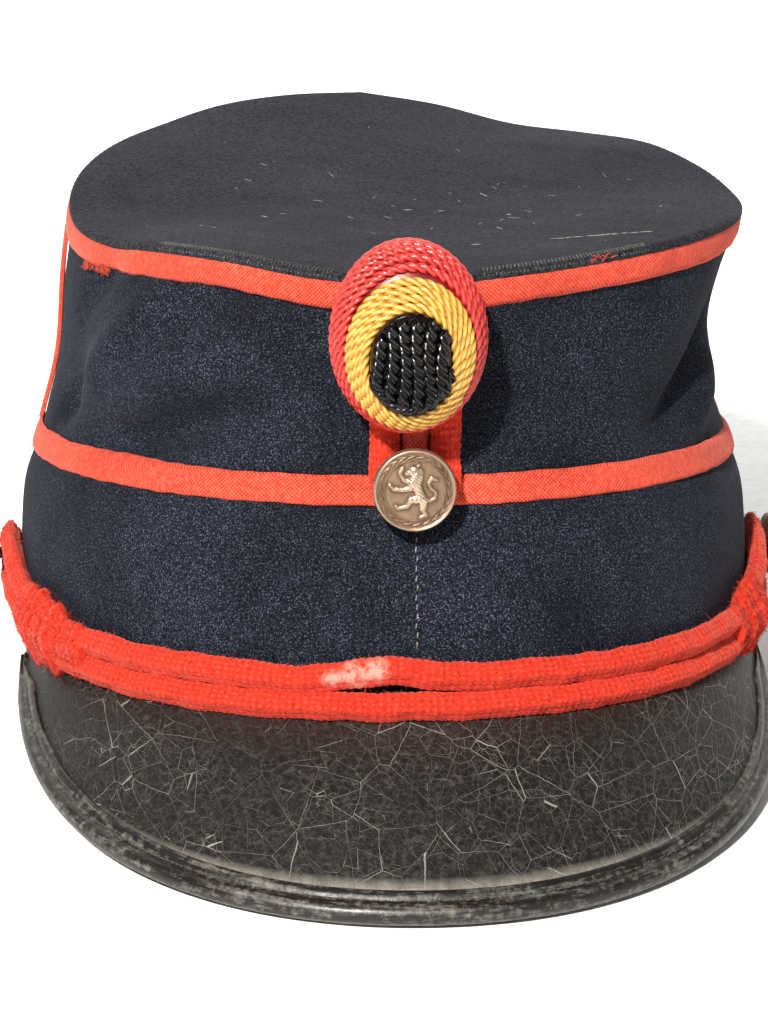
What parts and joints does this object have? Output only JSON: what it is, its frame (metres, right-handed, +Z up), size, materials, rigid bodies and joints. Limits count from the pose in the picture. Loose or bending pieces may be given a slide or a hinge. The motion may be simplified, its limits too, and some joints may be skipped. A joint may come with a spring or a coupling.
{
  "type": "kepi cap",
  "caption": "Stiff round wool cap with a soft sloping crown, red seam tapes, an oval corded cockade, metal buttons, a woven chin cord on the band and a bent leather peak.",
  "frame": {"origin": "centre of the bounding box at its base, on the surface that the cap stands on", "axes": "+Z up, -Y to the front where the peak and cockade are, +X to the wearer's left"},
  "size_m": [0.187, 0.2486, 0.1218],
  "materials": {
    "wool": "navy wool cloth, fulled and slightly fleecy, faded and linty on the top",
    "tape": "flat woven scarlet wool tape, a little frayed",
    "braid": "soft woven scarlet wool cord, matt and fuzzy",
    "cord_red": "twisted red silk cord with a soft sheen",
    "cord_yellow": "twisted golden yellow silk cord with a soft sheen",
    "cord_black": "twisted black silk cord, glossy",
    "metal": "dull bronzed brass, worn brighter on the rim and the relief",
    "leather": "old black varnished leather with a fine pale crackle",
    "binding": "black rolled leather, stitched, rubbed grey on the edge"
  },
  "bodies": {
    "root": {"band": "wool", "crown": "wool", "top": "wool", "seam_tape": "tape", "top_tape": "tape", "front_tape": "tape", "left_tape": "tape", "right_tape": "tape", "back_tape": "tape", "cockade_red": "cord_red", "cockade_yellow": "cord_yellow", "cockade_black": "cord_black", "braid_loop": "braid", "front_button": "metal", "chin_cord": "braid", "left_slide": "braid", "right_slide": "braid", "left_button": "metal", "right_button": "metal", "peak": "leather", "peak_binding": "binding"}
  },
  "joints": []
}
